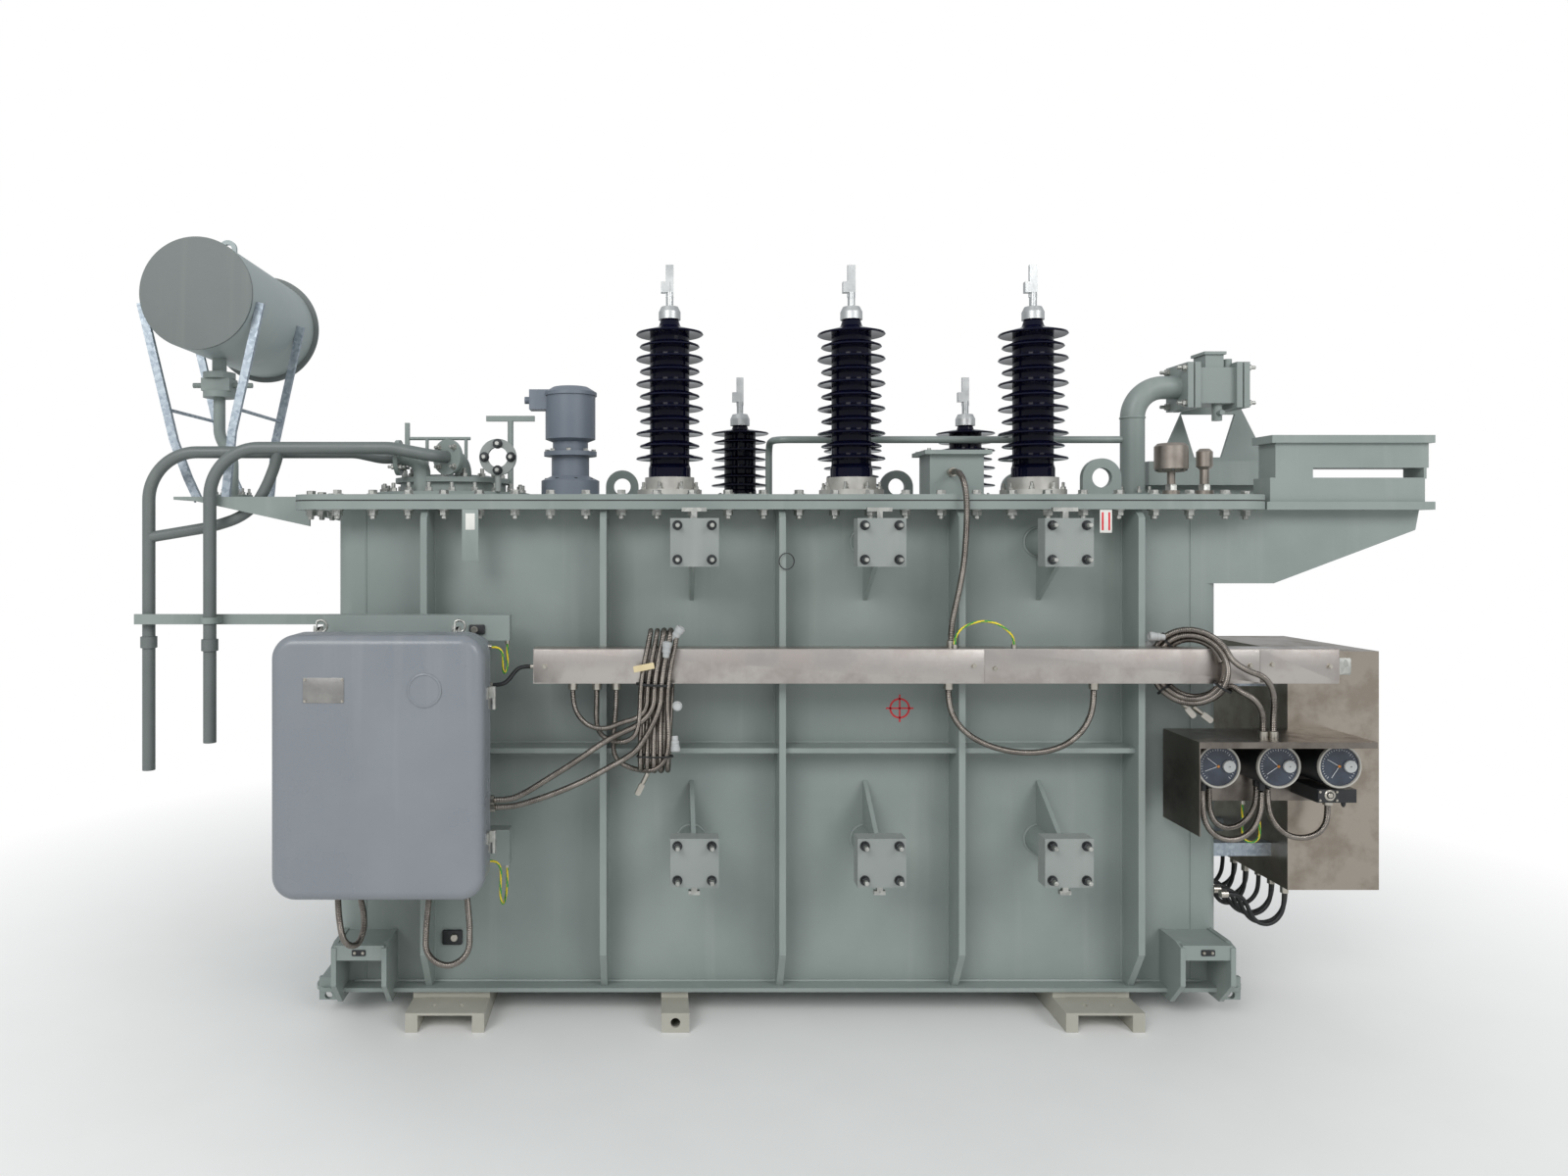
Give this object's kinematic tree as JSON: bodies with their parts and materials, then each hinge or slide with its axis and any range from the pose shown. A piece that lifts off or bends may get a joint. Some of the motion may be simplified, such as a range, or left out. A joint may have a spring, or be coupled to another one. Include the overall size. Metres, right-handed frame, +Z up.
{
  "type": "power transformer",
  "caption": "Oil-filled power transformer with tall and short bushings, conservator, drive cabinet, cable trunk and radiator valve flanges.",
  "frame": {"origin": "on the floor under the middle of the whole, without its loose cables", "axes": "+X along the tank to the right seen from the drive cabinet side, +Y away from that side, +Z up"},
  "size_m": [5.011, 2.152, 3.0725],
  "materials": {
    "tank_paint": "satin",
    "cabinet_paint": "gloss",
    "column_paint": "satin",
    "galvanised": "matte",
    "stainless": "satin",
    "porcelain": "gloss",
    "aluminium": "satin",
    "gasket": "matte",
    "dial": "gloss",
    "conduit": "satin",
    "black_cable": "matte",
    "earth_wire": "satin"
  },
  "bodies": {
    "transformer": {"black_cables": "black_cable", "blanking_plates": "tank_paint", "bottom_plate": "tank_paint", "cabinet_brackets": "tank_paint", "cabinet_housing": "cabinet_paint", "cabinet_standoffs": "tank_paint", "cable_coil": "conduit", "cable_hank": "conduit", "cable_trunk": "stainless", "conduit_glands": "galvanised", "conservator_ends": "tank_paint", "conservator_legs": "galvanised", "conservator_outlet": "tank_paint", "conservator_shelf": "tank_paint", "conservator_shell": "tank_paint", "control_cabinet": "stainless", "cover_gasket": "gasket", "cover_plate": "tank_paint", "cradle_frame": "tank_paint", "drive_column": "column_paint", "earth_wires": "earth_wire", "end_bracket": "tank_paint", "gauge_dials": "dial", "gauge_hood": "stainless", "head_elbows": "tank_paint", "housing_hinges": "stainless", "jacking_lugs": "tank_paint", "lifting_lugs": "tank_paint", "oil_pipe_inner": "tank_paint", "oil_pipe_outer": "tank_paint", "open_ring_flange": "tank_paint", "pipe_clamps": "galvanised", "pull_beam": "tank_paint", "relay_body": "tank_paint", "relay_riser": "tank_paint", "rim_flange": "tank_paint", "sensors": "tank_paint", "short_bases": "aluminium", "short_porcelains": "porcelain", "short_terminals": "aluminium", "skid_frames": "tank_paint", "skid_packers": "tank_paint", "steel_conduits": "conduit", "tall_bases": "aluminium", "tall_porcelains": "porcelain", "tall_terminals": "aluminium", "tank_wall": "tank_paint", "tap_changer_head": "tank_paint", "terminal_box": "tank_paint", "valve_bodies": "tank_paint", "valve_gussets": "tank_paint", "valve_necks": "tank_paint", "valve_spindles": "galvanised", "vent_pipe": "tank_paint", "waist_rails": "tank_paint", "wall_ribs": "tank_paint"},
    "cabinet_door": {"cabinet_door": "cabinet_paint", "door_hinges": "stainless"}
  },
  "joints": [
    {"name": "cabinet_door_hinge", "type": "hinge", "parent": "transformer", "child": "cabinet_door", "pos_m": [-0.95425, -0.976, 1], "axis": [0, 0, 1], "range_deg": [0, 110]}
  ]
}
